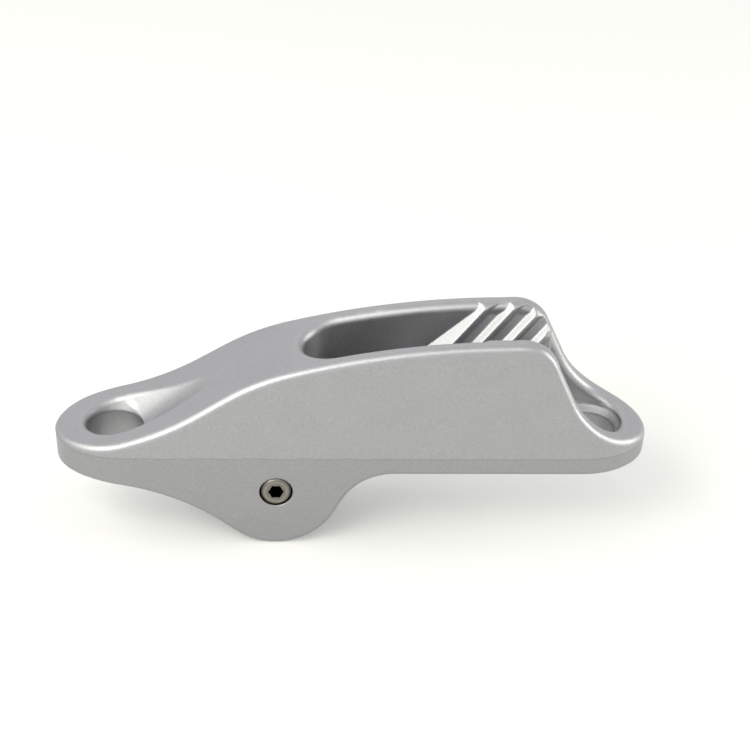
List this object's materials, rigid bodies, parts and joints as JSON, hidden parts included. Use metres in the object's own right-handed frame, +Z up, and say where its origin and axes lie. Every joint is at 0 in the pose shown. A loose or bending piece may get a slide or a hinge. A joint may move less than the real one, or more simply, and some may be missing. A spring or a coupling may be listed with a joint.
{
  "type": "jam cleat",
  "caption": "Small cast jam cleat for rope: a slot with toothed jaws closing to a V, a fairlead eye at each end and a cross pin in a lobe below.",
  "frame": {"origin": "on the axis of the anchor eye, at the height where the two mould halves met", "axes": "+X along the cleat from the anchor eye to the tail eye, +Y across it away from the pin's socket, +Z up out of the jaws, along the eyes' bores"},
  "size_m": [0.108, 0.0222, 0.0414],
  "materials": {
    "cleat_body": "satin silver, fine blasted and clear anodised casting",
    "cross_pin": "turned stainless steel"
  },
  "bodies": {
    "root": {"cleat_body": "cleat_body", "cross_pin": "cross_pin"}
  },
  "joints": []
}
